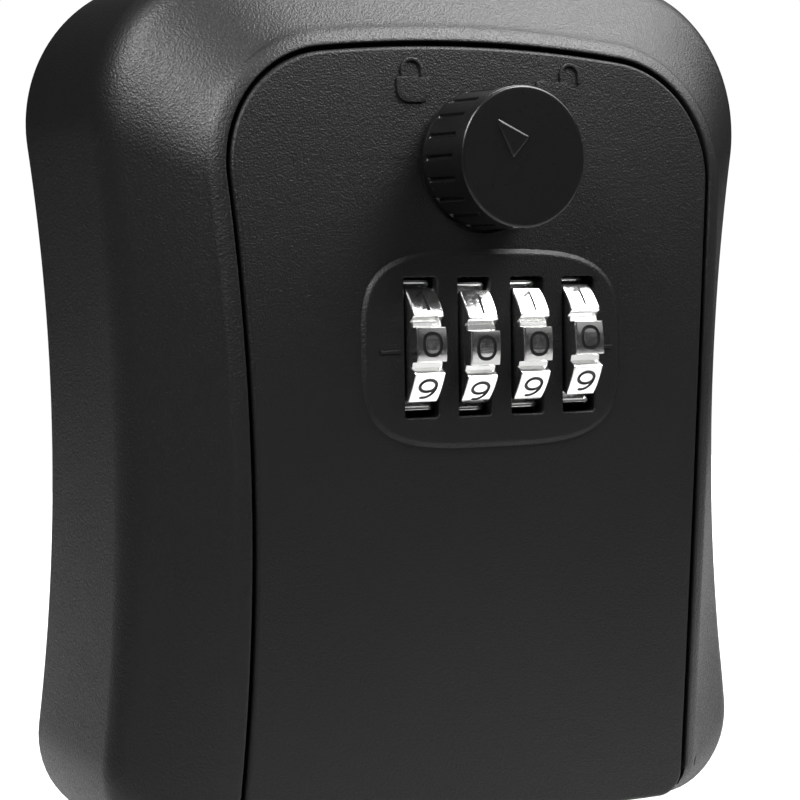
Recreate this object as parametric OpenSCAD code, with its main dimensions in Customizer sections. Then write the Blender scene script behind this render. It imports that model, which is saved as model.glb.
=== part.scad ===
// Key lock box: a wall-mounted body, a bottom-hinged door with a turn knob,
// four number dials and a sliding latch.
// Frame: origin on the rear mounting face, +Z up, +X to the right as seen
// from the front, front faces -Y, the wall is the plane y = 0.

/* [Body] */
// Height of the body's top edge above the centre of the mounting face
body_top = 60.6; // [60:0.1:61.4]
// Depth of the body's bottom edge below the centre of the mounting face
body_bottom = 60.6; // [60:0.1:61.4]
// Half width of the body at its waist
body_waist = 46.15; // [45.6:0.05:47]
// Distance from the wall to the rounded crease around the body
body_side_depth = 27.2; // [26.6:0.1:27.8]
// Distance from the wall to the foremost point of the door
front_depth = 42.5; // [42:0.1:43]
// Radius of the shallow vertical bow of the front face
front_bow_r = 354; // [348:1:370]
// Thickness of the rear wall
rear_wall = 3; // [2.5:0.1:3.5]
// Thickness of the side walls
side_wall = 3; // [2.5:0.1:3.2]
// Radius of the four mounting screw holes
mount_hole_r = 2.5; // [2:0.1:3]
// Distance between mounting holes across the body
mount_dx = 50; // [44:1:54]
// Distance between mounting holes up the body
mount_dz = 70; // [60:1:76]
// Height of the middle of the mounting holes
mount_z = -3; // [-6:0.5:0]

/* [Door] */
// Height of the door's top edge at its middle
door_top = 47.14; // [47:0.02:47.3]
// Depth of the door's bottom edge
door_bottom = 57.42; // [57.3:0.01:57.5]
// Half width of the door at its waist
door_waist = 33.28; // [33.1:0.01:33.4]
// Gap between door and frame
door_gap = 0.55; // [0.45:0.05:0.7]
// Width of the raised lip around the door
lip_w = 2.35; // [2.2:0.05:2.6]
// Thickness of the door's skin
skin = 2.2; // [2:0.1:2.4]
// Distance from the door's foremost point back to the rear edge of its skirt
skirt_depth = 6.3; // [6.2:0.05:6.4]
// Height of the hinge axis
hinge_z = -53; // [-53.2:0.1:-52.8]
// Distance from the door's foremost point back to the hinge axis
hinge_depth = 6.6; // [6.5:0.05:6.8]

/* [Dials] */
// Distance from one dial to the next
dial_pitch = 8; // [8:0.05:8.2]
// Outer radius of a dial
dial_r = 10; // [9.8:0.05:10.05]
// Width of a dial
dial_w = 4.5; // [4.3:0.05:4.6]
// Sideways offset of the dial row from the middle of the door
dial_x = 1.86; // [1.8:0.01:2]
// Height of the dial axis
dial_z = 7.64; // [7.5:0.01:7.8]
// Distance from the door's foremost point back to the dial axis
dial_depth = 6.4; // [6.3:0.05:6.6]
// Width of a dial window
window_w = 4.88; // [4.8:0.02:5]
// Height of a dial window
window_h = 18.26; // [18.1:0.02:18.4]
// Travel of the code change lever
reset_travel = 1.8; // [1.6:0.1:1.8]

/* [Knob] */
// Height of the knob axis
knob_z = 32.2; // [32:0.1:32.4]
// Radius of the knob's foot
knob_r = 9.3; // [9.2:0.05:9.5]
// Radius of the knob's front face
knob_face_r = 9.13; // [9:0.01:9.2]
// Height of the knob in front of the door
knob_h = 10.95; // [10.7:0.05:11.2]
// Number of flutes round the knob
knob_flutes = 20; // [16:1:24]
// Radius of the crank pin's circle
crank_r = 5; // [4.8:0.1:5]

/* [Hidden] */

bow_z = -1.6;                         // height of the foremost point
// the door and its works are drawn with the foremost point at y = -40.8 and
// are then moved to the body's real depth
ref_front = -40.8;
door_shift = -front_depth - ref_front;
function sag(z) = front_bow_r - sqrt(front_bow_r*front_bow_r - (z - bow_z)*(z - bow_z));
function fy(z) = -front_depth + sag(z);

dial_play = [3.2, -0.6, 1.7, 5.8];        // free play of each dial at rest, degrees
dy = ref_front + dial_depth;
skirt_y = -ref_front - skirt_depth;
hinge_y = -ref_front - hinge_depth;
function dx(i) = dial_x + (i - 1.5)*dial_pitch;
disc_r = 5.1;
disc_t = 1.2;
travel = 2*crank_r*sin(45);           // latch travel for a quarter turn
latch_yf = -30.6;                     // front face of the latch plate
latch_yb = -29.0;                     // rear face of the latch plate
nose_top = 46.95;
cover_yi = -22.9;                     // inner face of the cover's rear wall
cover_yo = -21.4;                     // outer face of the cover's rear wall
frame_xl = -15.5;
frame_xr = 20;
sheet = 1.5;
ear_z = 16;
ear_xl = -18.9;
ear_xr = 24.7;

// ---------- outlines made of tangent arcs ----------
function dirv(a) = [cos(a), sin(a)];
function angv(v) = atan2(v[1], v[0]);
function meet(c1, r1, c2, r2) = let (
  d = norm(c2 - c1), a = (r1*r1 - r2*r2 + d*d)/(2*d), h = sqrt(r1*r1 - a*a),
  u = (c2 - c1)/d) c1 + a*u + h*[-u[1], u[0]];
// zt, rt: top edge and its radius; w, zw, rs: waist half width, its height and
// the radius of the hollow side; rc: top corners; zb, rb: bottom edge and corners
function half(zt, rt, w, zw, rs, rc, zb, rb, d) = let (
  ct = [0, zt - rt], cs = [w + rs, zw],
  cc = meet(ct, rt - rc, cs, rs + rc),
  cb = [w + rs - sqrt((rs + rb)*(rs + rb) - (zb + rb - zw)*(zb + rb - zw)), zb + rb],
  at = angv(cc - ct), as = angv(cs - cc), ab = angv(cs - cb))
  concat(
    [for (i = [0:4]) ct + (rt + d)*dirv(90 + (at - 90)*i/5)],
    [for (i = [0:8]) cc + (rc + d)*dirv(at + (as - at)*i/9)],
    [for (i = [0:9]) cs + (rs - d)*dirv(180 + as + (ab - as)*i/10)],
    [for (i = [0:5]) cb + max(rb + d, 0.3)*dirv(ab + (-90 - ab)*i/5)]);
function loop(h) = concat(h, [for (i = [len(h) - 1:-1:1]) [-h[i][0], h[i][1]]]);
function door_line(d, zb = -door_bottom, rb = 3.3) =
  loop(half(door_top, 199, door_waist, -24, 538, 15.14, zb, rb, d));
function body_line(d) =
  loop(half(body_top, 190, body_waist, -7.5, 298, 20.6, -body_bottom, 13.1, d));

// solid between y0 (rear) and y1 (front) with an X-Z outline
module slab(pts, y0, y1) {
  translate([0, y0, 0]) rotate([90, 0, 0]) linear_extrude(y0 - y1) polygon(pts);
}
// skin through a row of rings; the rear and front caps are strips across x
module loft(rings) {
  n = len(rings[0]);
  m = len(rings);
  pts = [for (r = rings) each r];
  side = [for (k = [0:m - 2]) for (i = [0:n - 1])
    let (j = (i + 1) % n, a = k*n + i, b = k*n + j, c = (k + 1)*n + j, e = (k + 1)*n + i)
    each [[a, b, c], [a, c, e]]];
  hf = (n + 1)/2;  // points in one half
  function lf(i) = i == 0 ? 0 : n - i;
  function cap(o, flip) = [for (i = [0:hf - 2])
    let (a = o + i, b = o + i + 1, c = o + lf(i + 1), e = o + lf(i))
    each (i == 0 ? [flip ? [a, c, b] : [a, b, c]]
      : flip ? [[a, c, b], [a, e, c]] : [[a, b, c], [a, c, e]])];
  polyhedron(pts, concat(side, cap(0, true), cap((m - 1)*n, false)), convexity = 6);
}
function at_y(line, y) = [for (p = line) [p[0], y, p[1]]];
function on_bow(line, s) = [for (p = line) [p[0], fy(p[1]) + s, p[1]]];
module bow(inset) {
  translate([0, ref_front + front_bow_r, bow_z]) rotate([0, 90, 0])
    cylinder(h = 140, r = front_bow_r - inset, center = true, $fn = 1440);
}
// cylinder along Y from y0 back to front y1
module ycyl(x, z, r, y0, y1, r2 = -1, fn = 64) {
  translate([x, y0, z]) rotate([90, 0, 0])
    cylinder(h = y0 - y1, r1 = r, r2 = r2 < 0 ? r : r2, $fn = fn);
}
module xcyl(x0, x1, y, z, r, fn = 64) {
  translate([x0, y, z]) rotate([0, 90, 0]) cylinder(h = x1 - x0, r = r, $fn = fn);
}
module box(a, b) { translate(a) cube(b - a); }
// coil along +Z from the origin
module coil(r, wire, h, turns) {
  seg = 14;
  n = turns*seg;
  w = wire/2;
  lift = (h - 2*w)/turns/360;
  ring = function (k) let (a = k*360/seg, z = w + a*lift)
    [for (j = [0:5]) let (q = j*60) [(r + w*cos(q))*cos(a), (r + w*cos(q))*sin(a), z + w*sin(q)]];
  pts = [for (k = [0:n]) each ring(k)];
  faces = concat(
    [for (k = [0:n - 1]) for (j = [0:5]) let (a = k*6 + j, b = k*6 + (j + 1) % 6)
      each [[a, b + 6, b], [a, a + 6, b + 6]]],
    [[0, 1, 2, 3, 4, 5]], [[for (j = [5:-1:0]) n*6 + j]]);
  polyhedron(pts, faces, convexity = 10);
}

// ---------- body ----------
module rear_housing() {
  s = body_side_depth;
  lipd = door_gap + lip_w;
  q = door_shift;
  color("#2a2b2d") difference() {
    loft([at_y(body_line(-0.7), 0), at_y(body_line(0), -0.8),
      at_y(body_line(0.25), -s/2), at_y(body_line(0), -s),
      at_y(body_line(-0.5), -s - 2), at_y(body_line(-1.6), -s - 3.3),
      at_y(body_line(-3), -s - 4.4),
      on_bow(door_line(lipd, -53.5, 0.6), 1.4),
      on_bow(door_line(lipd - 1.1, -53.5, 0.6), 0.45),
      on_bow(door_line(0.3, -53.5, 0.6), 0.1)]);
    // key space, wide behind the frame and narrower at the door opening
    loft([at_y(body_line(-side_wall), -rear_wall), at_y(body_line(-side_wall), -s + 0.7),
      at_y(door_line(-2), -31 + q), at_y(door_line(-2), -36 + q)]);
    // seat for the door
    slab(door_line(door_gap), -34.3 + q, -50);
    // room for the door's lower edge and hinge lugs to swing
    xcyl(-34.4, 34.4, -hinge_y + q, hinge_z, 5.7);
    for (m = [0, 1]) mirror([m, 0, 0]) xcyl(34, 37.6, -hinge_y + q, hinge_z, 1.25);
    // notch in the frame's ledge for the latch
    box([-8.8, -36 + q, 43.5], [8.8, -26 + q, 47.4]);
    for (x = [-1, 1], z = [-1, 1])
      ycyl(x*mount_dx/2, mount_z + z*mount_dz/2, mount_hole_r, 1, -8);
    ycyl(0, 38, 1.6, -1, -8);
  }
}
module key_hook() {
  color("#8f9296") {
    difference() {
      union() {
        ycyl(0, 38, 1.6, -1, -14);
        ycyl(0, 38, 3.4, -rear_wall, -4);
        translate([0, -13, 38]) rotate([0, 0, 0]) cylinder(h = 4.6, r = 1.3, $fn = 32);
        translate([0, -13, 42.6]) sphere(r = 1.3, $fn = 32);
      }
      ycyl(0, 38, 4, -14, -18);
    }
  }
}

// ---------- door ----------
cover_pts = [[-26.5, -15], [29.5, -15], [29.5, 30.5], [19, 42], [-16, 42], [-26.5, 30.5]];
cover_in = [[-25, -13.5], [28, -13.5], [28, 29.9], [18.3, 40.5], [-15.3, 40.5], [-25, 29.9]];
cover_boss = [[-14.2, 36.9], [16.6, 36.9], [-21.8, -10.3], [24.8, -10.3]];
module door_panel() {
  color("#26272a") difference() {
    union() {
      difference() {
        intersection() {
          slab(door_line(0), -skirt_y, -46);
          bow(0);
        }
        intersection() {
          slab(door_line(-2), -skirt_y + 1, -46);
          bow(skin);
        }
      }
      // hinge lugs
      for (m = [0, 1]) mirror([m, 0, 0]) {
        xcyl(27.2, 33.2, -hinge_y, hinge_z, 2.4);
        box([27.2, -36.4, hinge_z - 2.4], [33.2, -hinge_y, hinge_z + 2.4]);
      }
      intersection() {
        union() {
          // sleeve for the knob spindle
          ycyl(0, knob_z, 6, -33.2, -40);
          // posts for the cover and for the dial frame
          for (p = cover_boss) ycyl(p[0], p[1], 2.8, cover_yi, -40);
          for (x = [ear_xl, ear_xr]) ycyl(x, ear_z, 2.8, -34.4, -40);
          // guides for the latch plate
          box([-12, -40, 25.2], [-8.4, -30.8, 34]);
          box([-12, -40, 25.2], [-9.3, -28.6, 34]);
          box([18.8, -40, 25.2], [22, -30.8, 34]);
          box([19.7, -40, 25.2], [22, -28.6, 34]);
          // seat of the latch spring
          box([8.6, -40, 19.6], [13.9, -30.9, 21.4]);
        }
        bow(1);
      }
    }
    for (i = [0:3]) box([dx(i) - window_w/2, -46, dial_z - window_h/2],
      [dx(i) + window_w/2, -34, dial_z + window_h/2]);
    // room behind each window for the dial to turn
    for (i = [0:3]) box([dx(i) - window_w/2, -39.4, dial_z - window_h/2 - 0.7],
      [dx(i) + window_w/2, -34, dial_z + window_h/2 + 0.7]);
    // relief behind the bars between the windows, for the code discs
    for (i = [0:3]) xcyl(dx(i) + 2.2, dx(i) + 5.75, dy, dial_z, disc_r + 0.3, fn = 96);
    ycyl(0, knob_z, 4, -30, -46);
    // flat seat for the knob
    ycyl(0, knob_z, knob_r + 0.4, ref_front + sag(knob_z), -46, fn = 96);
    for (p = cover_boss) ycyl(p[0], p[1], 1.25, cover_yi + 1, cover_yi - 10);
    for (x = [ear_xl, ear_xr]) ycyl(x, ear_z, 1.25, -33, -38);
    for (m = [0, 1]) mirror([m, 0, 0]) xcyl(27, 34.6, -hinge_y, hinge_z, 1.2);
  }
}
module hinge_pins() {
  color("#b9bcc0") for (m = [0, 1]) mirror([m, 0, 0])
    xcyl(27.4, 37.2, -hinge_y, hinge_z, 1.2);
}
module mechanism_cover() {
  color("#303135") difference() {
    union() {
      difference() {
        slab(cover_pts, cover_yo, -34.9);
        slab(cover_in, cover_yi, -36);
      }
      // ribs that hold the latch plate in its guides
      box([-11.4, -28.4, 26], [-7.4, cover_yi, 33]);
      box([17.6, -28.4, 26], [21.6, cover_yi, 33]);
    }
    // way out for the latch nose
    box([-8.6, -31, 39.5], [8.6, -28.6, 43]);
    // slot for the code change lever
    box([-24.5, -24, dial_z - 2.5], [-18.2, -20, dial_z + 2.5]);
    for (p = cover_boss) ycyl(p[0], p[1], 1.6, cover_yo + 1, cover_yi - 1);
  }
}
module screw(x, z, y, l, hr, hh, r) {
  difference() {
    union() {
      ycyl(x, z, hr, y + hh, y, fn = 48);
      ycyl(x, z, r, y, y - l, fn = 48);
    }
    box([x - hr - 1, y + hh - 0.5, z - 0.3], [x + hr + 1, y + hh + 1, z + 0.3]);
    box([x - 0.3, y + hh - 0.8, z - 1.6], [x + 0.3, y + hh + 1, z + 1.6]);
  }
}
module cover_screws() {
  color("#c4c6c8") for (p = cover_boss) screw(p[0], p[1], cover_yo, 9, 2.6, 1.7, 1.25);
}

// ---------- dials ----------
module dial_frame() {
  color("#9ea1a4") difference() {
    union() {
      box([frame_xl, -37, -5.4], [frame_xl + sheet, -24.2, 20.5]);
      box([frame_xr, -37, -5.4], [frame_xr + sheet, -24.2, 20.5]);
      box([frame_xl, -28.6, -5.4], [frame_xr + sheet, -24.2, -3.9]);
      box([-22.2, -34.4, 11.6], [frame_xl + 0.5, -32.9, 20.5]);
      box([frame_xr + 1, -34.4, 11.6], [27.6, -32.9, 20.5]);
    }
    xcyl(frame_xl - 1, frame_xr + 3, dy, dial_z, 2.05);
    for (x = [ear_xl, ear_xr]) ycyl(x, ear_z, 1.5, -32, -36);
    for (x = [dx(0) + 4, dx(2) + 4]) translate([x, -26.5, -6]) cylinder(h = 4, r = 1, $fn = 48);
  }
}
module frame_screws() {
  color("#c4c6c8") for (x = [ear_xl, ear_xr]) screw(x, ear_z, -32.9, 4.2, 2.4, 1.5, 1.25);
}
module detent_comb() {
  color("#b4b7ba") difference() {
    union() {
      box([-14, -28.4, -3.9], [19.9, -24.4, -3.5]);
      for (i = [0:3]) {
        box([dx(i) - 1.6, -36, -3.9], [dx(i) + 1.6, -28, -3.5]);
        xcyl(dx(i) - 1.6, dx(i) + 1.6, dy, -3.36, 0.65, fn = 32);
      }
    }
    for (x = [dx(0) + 4, dx(2) + 4]) translate([x, -26.5, -5]) cylinder(h = 3, r = 1.05, $fn = 48);
  }
}
module comb_screws() {
  color("#c4c6c8") for (x = [dx(0) + 4, dx(2) + 4]) translate([x, -26.5, 0]) difference() {
    union() {
      translate([0, 0, -6.2]) cylinder(h = 2.71, r = 1, $fn = 48);
      translate([0, 0, -3.5]) cylinder(h = 1, r = 1.7, $fn = 48);
    }
    box([-2, -0.25, -2.9], [2, 0.25, -2]);
  }
}
// ten flats with valleys between; digit 0 faces -Y, each next digit is 36 degrees up
function star() = [for (i = [0:9]) each [
  [dial_r*cos(i*36 - 13.2), dial_r*sin(i*36 - 13.2)],
  [dial_r*cos(i*36 + 13.2), dial_r*sin(i*36 + 13.2)],
  [8.5*cos(i*36 + 15.6), 8.5*sin(i*36 + 15.6)],
  [8.5*cos(i*36 + 20.4), 8.5*sin(i*36 + 20.4)]]];
module dial_wheel(i) {
  a = dial_play[i];
  color("#b8bbbe") translate([dx(i), dy, dial_z]) rotate([-a, 0, 0]) rotate([0, 90, 0])
    difference() {
      translate([0, 0, -dial_w/2]) linear_extrude(dial_w) rotate(90) polygon(star());
      translate([0, 0, -5]) cylinder(h = 10, r = 2.05, $fn = 64);
      // ten-sided socket for the code disc
      translate([0, 0, 0.5]) cylinder(h = 3, r = 4.25, $fn = 10);
    }
}
module code_disc(i) {
  a = dial_play[i];
  color("#c9a85c") translate([dx(i), dy, dial_z]) rotate([-a, 0, 0]) rotate([0, 90, 0])
    difference() {
      union() {
        translate([0, 0, dial_w/2 + 0.25]) cylinder(h = disc_t, r = disc_r, $fn = 96);
        translate([0, 0, 0.9]) cylinder(h = 2, r = 4.05, $fn = 10);
      }
      translate([0, 0, -1]) cylinder(h = 8, r = 2.05, $fn = 64);
      // gate that lets the latch finger in
      rotate(i == 0 ? 36 : i == 1 ? 144 : i == 2 ? -72 : 108)
        translate([4.2, -1.6, 2]) cube([4, 3.2, 4]);
    }
}
module dial_shaft() {
  color("#c2c5c8") union() {
    xcyl(-24.4, 23, dy, dial_z, 2);
  }
}
module shaft_clip() {
  color("#8d9093") difference() {
    xcyl(frame_xr + sheet + 0.1, frame_xr + sheet + 0.7, dy, dial_z, 3.6);
    xcyl(20, 24, dy, dial_z, 2);
    box([20, dy - 5, dial_z - 1.1], [24, dy - 0, dial_z + 1.1]);
  }
}
module reset_lever() {
  color("#d8d9da") difference() {
    union() {
      xcyl(-24.2, -20.6, dy, dial_z, 3.5);
      box([-24.2, -32, dial_z - 2], [-20.6, -19.4, dial_z + 2]);
      box([-24.2, -21.1, dial_z - 5], [-20.6, -18.8, dial_z + 5]);
    }
    xcyl(-30, -10, dy, dial_z, 2);
  }
}
module reset_spring() {
  color("#b0b3b6") translate([-20.5, dy, dial_z]) rotate([0, 90, 0]) coil(2.75, 0.6, 4.9, 4);
}

// ---------- latch and knob ----------
module latch_plate() {
  color("#a9acb0") {
    difference() {
      union() {
        slab([[-8, 39.8], [-8, nose_top - 1.2], [-6.6, nose_top], [6.6, nose_top], [8, nose_top - 1.2],
          [8, 39.8], [13.2, 39.8], [13.2, 33.6], [19.3, 33.6], [19.3, 27], [-9, 27], [-9, 39.8]],
          latch_yb, latch_yf);
        // fingers that meet the code discs' gates
        for (i = [0:3]) box([dx(i) + 2.65, latch_yf, dial_z + 3.8 + travel], [dx(i) + 5.35, latch_yb, 27.5]);
        // bent tab that the spring lifts
        box([9.3, -36, 36.4], [13.1, latch_yb, 37.6]);
      }
      // cross slot for the crank pin
      zc = knob_z + crank_r*sin(45);
      box([1.9, -32, zc - 1.6], [6.7, -28, zc + 1.6]);
    }
  }
}
module latch_spring() {
  color("#b0b3b6") translate([11.2, -33.6, 21.4]) coil(2, 0.6, 15, 6.5);
}
module knob() {
  yb = ref_front + sag(knob_z) - 0.3;
  color("#1f2022") difference() {
    union() {
      ycyl(0, knob_z, knob_r, yb, yb - 1.3, fn = 96);
      ycyl(0, knob_z, knob_r - 0.15, yb - 1.3, yb + 0.3 - knob_h + 0.55, r2 = knob_face_r, fn = 96);
      ycyl(0, knob_z, knob_face_r, yb + 0.3 - knob_h + 0.55, yb + 0.3 - knob_h + 0.05, r2 = knob_face_r - 0.5, fn = 96);
    }
    for (i = [0:knob_flutes - 1]) rotate([0, 0, 0]) let (a = i*360/knob_flutes)
      ycyl((knob_r + 0.1)*cos(a), knob_z + (knob_r + 0.1)*sin(a), 0.5, yb + 1, yb + 0.3 - 8, fn = 24);
    ycyl(0, knob_z, 3, yb + 1, yb - 7);
  }
}
module knob_spindle() {
  yb = ref_front + sag(knob_z) - 0.3;
  color("#b9bcc0") union() {
    ycyl(0, knob_z, 3, yb + 0.02, yb - 7);
    ycyl(0, knob_z, 3.9, -33, yb);
    box([-2.5, -33, knob_z - 2.5], [2.5, -31.4, knob_z + 2.5]);
    ycyl(0, knob_z, 1.9, -30.9, -31.4);
  }
}
module latch_crank() {
  color("#b0a27a") difference() {
    union() {
      ycyl(0, knob_z, 4.6, -31.4, -33);
      rotate([0, 0, 0]) translate([0, 0, knob_z]) rotate([0, -45, 0]) {
        box([0, -33, -2.2], [crank_r, -31.4, 2.2]);
        ycyl(crank_r, 0, 2.2, -31.4, -33);
        ycyl(crank_r, 0, 1.25, -28.4, -31.5);
      }
    }
    box([-2.5, -34, knob_z - 2.5], [2.5, -31, knob_z + 2.5]);
  }
}
module spindle_clip() {
  color("#8d9093") difference() {
    ycyl(0, knob_z, 3.3, -30.95, -31.35);
    ycyl(0, knob_z, 1.9, -30, -32);
    box([-0.9, -32, knob_z - 5], [0.9, -30, knob_z]);
  }
}

// moves the door and its works to their real depth
module works() { translate([0, door_shift, 0]) children(); }

rear_housing();
key_hook();
works() door_panel();
works() hinge_pins();
works() mechanism_cover();
works() cover_screws();
works() dial_frame();
works() frame_screws();
works() detent_comb();
works() comb_screws();
works() dial_wheel(0);  // dial_wheel_1
works() dial_wheel(1);  // dial_wheel_2
works() dial_wheel(2);  // dial_wheel_3
works() dial_wheel(3);  // dial_wheel_4
works() code_disc(0);  // code_disc_1
works() code_disc(1);  // code_disc_2
works() code_disc(2);  // code_disc_3
works() code_disc(3);  // code_disc_4
works() dial_shaft();
works() shaft_clip();
works() reset_lever();
works() reset_spring();
works() latch_plate();
works() latch_spring();
works() knob();
works() knob_spindle();
works() latch_crank();
works() spindle_clip();
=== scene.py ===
"""Key lock box: the finished surfaces, in metres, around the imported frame."""
import math

import bmesh
import bpy
import numpy as np
from mathutils import Matrix, Vector


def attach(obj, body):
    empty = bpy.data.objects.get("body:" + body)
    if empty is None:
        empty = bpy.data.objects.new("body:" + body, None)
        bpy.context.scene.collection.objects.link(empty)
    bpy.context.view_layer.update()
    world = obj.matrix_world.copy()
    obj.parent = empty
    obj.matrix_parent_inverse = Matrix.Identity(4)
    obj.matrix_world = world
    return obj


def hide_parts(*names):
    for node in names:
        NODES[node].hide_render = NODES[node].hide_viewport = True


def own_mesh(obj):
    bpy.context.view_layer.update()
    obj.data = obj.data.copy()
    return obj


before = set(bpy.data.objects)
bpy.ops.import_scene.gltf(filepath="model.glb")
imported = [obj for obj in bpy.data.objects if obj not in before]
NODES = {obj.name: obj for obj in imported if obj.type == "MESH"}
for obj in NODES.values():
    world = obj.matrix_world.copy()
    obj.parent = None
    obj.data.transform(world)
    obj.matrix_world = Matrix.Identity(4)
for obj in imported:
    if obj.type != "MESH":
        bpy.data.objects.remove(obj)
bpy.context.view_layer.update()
MM = 0.001


def rad(v):
    return math.radians(v)


# --------------------------------------------------------------------------
# camera, lights, floor
# --------------------------------------------------------------------------
def make_camera():
    a, p, r = rad(27.594), rad(-3.905), rad(-0.161)
    fwd = Vector((math.sin(a) * math.cos(p), math.cos(a) * math.cos(p), math.sin(p)))
    right = Vector((math.cos(a), -math.sin(a), 0.0))
    up = right.cross(fwd)
    cx = right * math.cos(r) + up * math.sin(r)
    cy = -right * math.sin(r) + up * math.cos(r)
    m = Matrix((cx, cy, -fwd)).transposed().to_4x4()
    m.translation = Vector((-147.60, -299.68, 20.74)) * MM
    data = bpy.data.cameras.new("camera")
    data.lens = 2242.3 / 800 * 36
    data.sensor_width = 36
    data.sensor_fit = "HORIZONTAL"
    data.clip_start = 0.01
    data.clip_end = 20
    data.dof.use_dof = False
    cam = bpy.data.objects.new("camera", data)
    bpy.context.scene.collection.objects.link(cam)
    cam.matrix_world = m
    bpy.context.scene.camera = cam


def area(name, pos, target, size, power, size_y=None, color=(1, 1, 1)):
    data = bpy.data.lights.new(name, "AREA")
    data.shape = "RECTANGLE"
    data.size = size
    data.size_y = size_y or size
    data.energy = power
    data.color = color
    o = bpy.data.objects.new(name, data)
    bpy.context.scene.collection.objects.link(o)
    o.location = pos
    d = Vector(target) - Vector(pos)
    o.rotation_euler = d.to_track_quat("-Z", "Y").to_euler()
    return o


def make_stage():
    world = bpy.data.worlds.new("studio")
    bpy.context.scene.world = world
    world.use_nodes = True
    nt = world.node_tree
    nt.nodes.clear()
    out = nt.nodes.new("ShaderNodeOutputWorld")
    bg = nt.nodes.new("ShaderNodeBackground")
    # dim room with a white backdrop behind the box
    tc = nt.nodes.new("ShaderNodeTexCoord")
    dot = nt.nodes.new("ShaderNodeVectorMath")
    dot.operation = "DOT_PRODUCT"
    dot.inputs[1].default_value = (0.4621, 0.8842, -0.0681)
    ramp = nt.nodes.new("ShaderNodeMapRange")
    ramp.inputs["From Min"].default_value = 0.92
    ramp.inputs["From Max"].default_value = 0.967
    ramp.inputs["To Min"].default_value = 0.035
    ramp.inputs["To Max"].default_value = 1.02
    ramp.interpolation_type = "SMOOTHSTEP"
    nt.links.new(tc.outputs["Generated"], dot.inputs[0])
    nt.links.new(dot.outputs["Value"], ramp.inputs["Value"])
    bg.inputs["Color"].default_value = (1.0, 1.0, 1.0, 1)
    nt.links.new(ramp.outputs["Result"], bg.inputs["Strength"])
    nt.links.new(bg.outputs[0], out.inputs[0])

    # pale floor, low enough for the door to swing down clear of it
    me = bpy.data.meshes.new("floor")
    x0, x1, y0, y1, z = -0.5, 0.66, -0.62, 0.66, -0.088
    me.from_pydata([(x0, y0, z), (x1, y0, z), (x1, y1, z), (x0, y1, z)], [], [(0, 1, 2, 3)])
    floor = bpy.data.objects.new("floor", me)
    bpy.context.scene.collection.objects.link(floor)
    m = bpy.data.materials.new("floor_paint")
    m.use_nodes = True
    b = m.node_tree.nodes["Principled BSDF"]
    b.inputs["Base Color"].default_value = (0.78, 0.78, 0.78, 1)
    b.inputs["Roughness"].default_value = 0.9
    b.inputs["Specular IOR Level"].default_value = 0.1
    me.materials.append(m)

    def soft(name, pos, target, size, power, spread):
        area(name, pos, target, size, power).data.spread = rad(spread)

    soft("left_softbox", (-0.29, -0.20, 0.32), (0, -0.03, 0.045), 0.20, 0.43, 58)
    soft("right_softbox", (0.44, -0.03, 0.36), (0, -0.03, 0.02), 0.24, 0.21, 80)
    soft("top_softbox", (0.12, -0.125, 0.25), (0, -0.03, 0.055), 0.15, 0.33, 78)
    soft("front_fill", (0.43, -0.55, 0.30), (0, -0.03, 0.03), 0.3, 0.008, 60)
    soft("back_edge", (-0.32, 0.29, 0.54), (0, -0.03, 0.0), 0.3, 0.026, 90)
    soft("table_light", (0.44, -0.52, 0.36), (0.21, -0.37, -0.088), 0.2, 0.42, 60)
    soft("floor_wash", (0.32, 0.44, 0.50), (0.32, 0.42, 0.0), 0.5, 5.4, 115)
    vs = bpy.context.scene.view_settings
    vs.view_transform = "Standard"
    vs.look = "None"
    vs.exposure = 0.0
    vs.gamma = 1.0


# --------------------------------------------------------------------------
# mesh helpers; every length below is in millimetres until build()
# --------------------------------------------------------------------------
def build(name, verts, faces, mats=()):
    me = bpy.data.meshes.new(name)
    me.from_pydata([tuple(float(c) * MM for c in v) for v in verts], [], faces)
    me.update()
    o = bpy.data.objects.new(name, me)
    bpy.context.scene.collection.objects.link(o)
    for m in mats:
        me.materials.append(m)
    return o


def fix_normals(o):
    bm = bmesh.new()
    bm.from_mesh(o.data)
    bmesh.ops.recalc_face_normals(bm, faces=bm.faces)
    bm.to_mesh(o.data)
    bm.free()
    return o


def tidy(o, dist=2e-6):
    bm = bmesh.new()
    bm.from_mesh(o.data)
    bmesh.ops.remove_doubles(bm, verts=bm.verts, dist=dist)
    bmesh.ops.dissolve_degenerate(bm, edges=bm.edges, dist=1e-7)
    loose = [v for v in bm.verts if not v.link_faces]
    if loose:
        bmesh.ops.delete(bm, geom=loose, context="VERTS")
    bm.to_mesh(o.data)
    bm.free()
    return o


def smooth(o, angle=32, weighted=True):
    bm = bmesh.new()
    bm.from_mesh(o.data)
    lim = rad(angle)
    for f in bm.faces:
        f.smooth = True
    for e in bm.edges:
        e.smooth = len(e.link_faces) == 2 and e.calc_face_angle(0) < lim
    bm.to_mesh(o.data)
    bm.free()
    if weighted:
        m = o.modifiers.new("weighted", "WEIGHTED_NORMAL")
        m.keep_sharp = True
        m.weight = 60
    return o


def bake_modifiers(o):
    dg = bpy.context.evaluated_depsgraph_get()
    me = bpy.data.meshes.new_from_object(o.evaluated_get(dg), depsgraph=dg)
    old = o.data
    o.modifiers.clear()
    o.data = me
    me.name = o.name
    if old.users == 0:
        bpy.data.meshes.remove(old)
    return o


def boolean(o, cutter, op="DIFFERENCE", self_cut=False, transfer=False):
    m = o.modifiers.new("cut", "BOOLEAN")
    m.operation = op
    m.object = cutter
    m.solver = "EXACT"
    m.use_self = self_cut
    if transfer:
        m.material_mode = "TRANSFER"
    bake_modifiers(o)
    if not o.data.polygons:
        raise RuntimeError(f"{o.name}: nothing left after a cut")
    bpy.data.objects.remove(cutter)
    return o


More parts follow.
